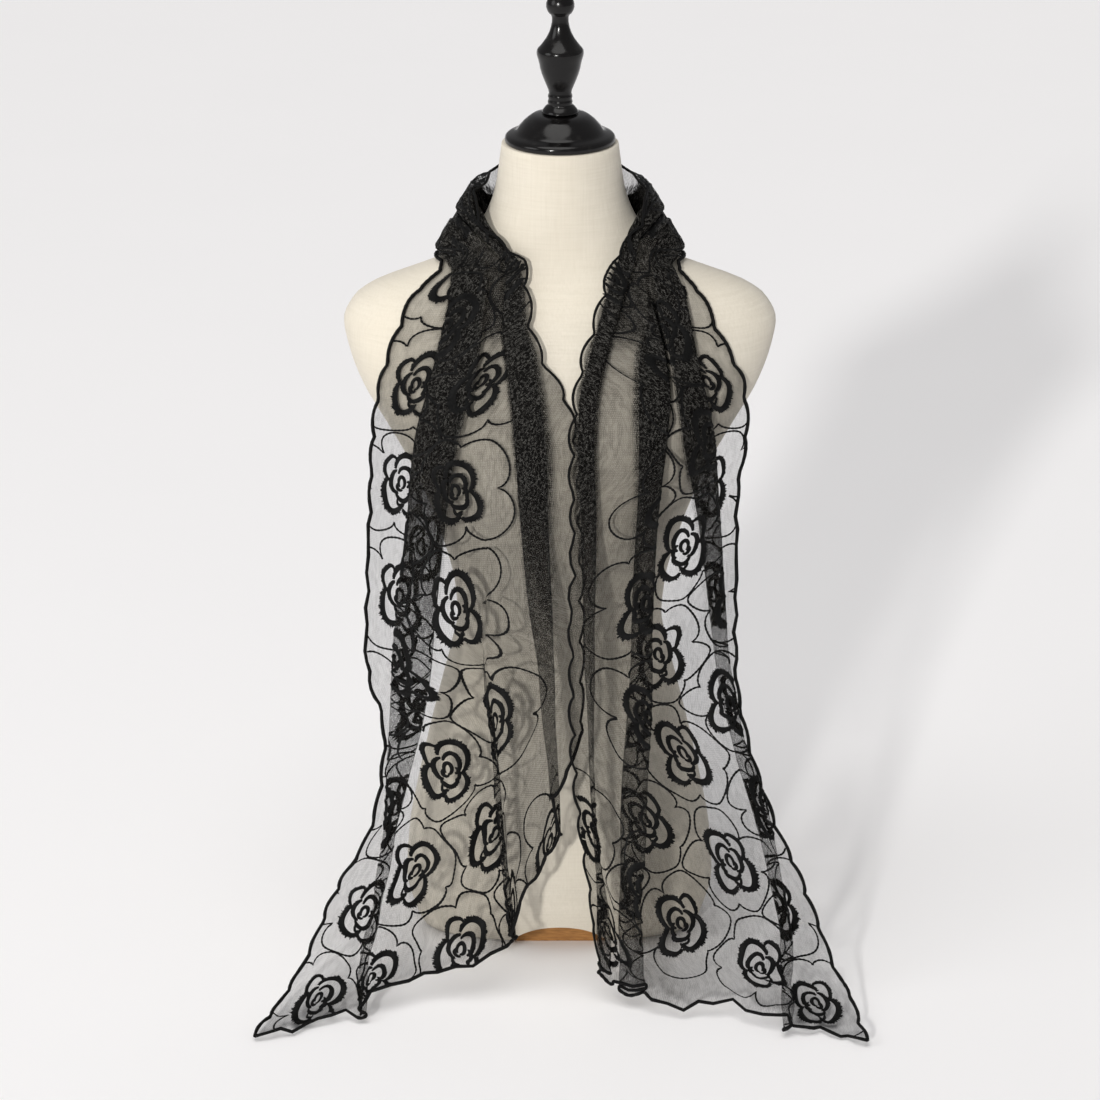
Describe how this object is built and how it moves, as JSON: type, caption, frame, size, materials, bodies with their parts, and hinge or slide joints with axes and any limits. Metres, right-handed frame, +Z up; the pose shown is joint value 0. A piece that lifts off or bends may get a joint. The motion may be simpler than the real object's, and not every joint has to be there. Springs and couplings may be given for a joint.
{
  "type": "tulle shawl on dress form",
  "caption": "Long sheer tulle shawl, draped in pleats over the shoulders of a limbless dress form with a neck cap and a finial, its ends hanging free in front.",
  "frame": {"origin": "on the table, in the middle of the dress form's flat base, under its neck", "axes": "+Z up along the neck, -Y towards the front where the shawl's ends hang, +X to the viewer's right"},
  "size_m": [0.558, 0.3527, 0.9285],
  "materials": {
    "tulle left": "black tulle",
    "tulle back": "black tulle",
    "tulle right": "black tulle",
    "cream linen": "plain woven linen",
    "brown board": "plain board",
    "cap lacquer": "gloss black lacquer",
    "finial lacquer": "gloss black lacquer"
  },
  "bodies": {
    "root": {"shawl_left": "tulle left", "shawl_back": "tulle back", "shawl_right": "tulle right", "dress_form": "cream linen", "base_board": "brown board", "neck_cap": "cap lacquer", "finial": "finial lacquer"}
  },
  "joints": []
}
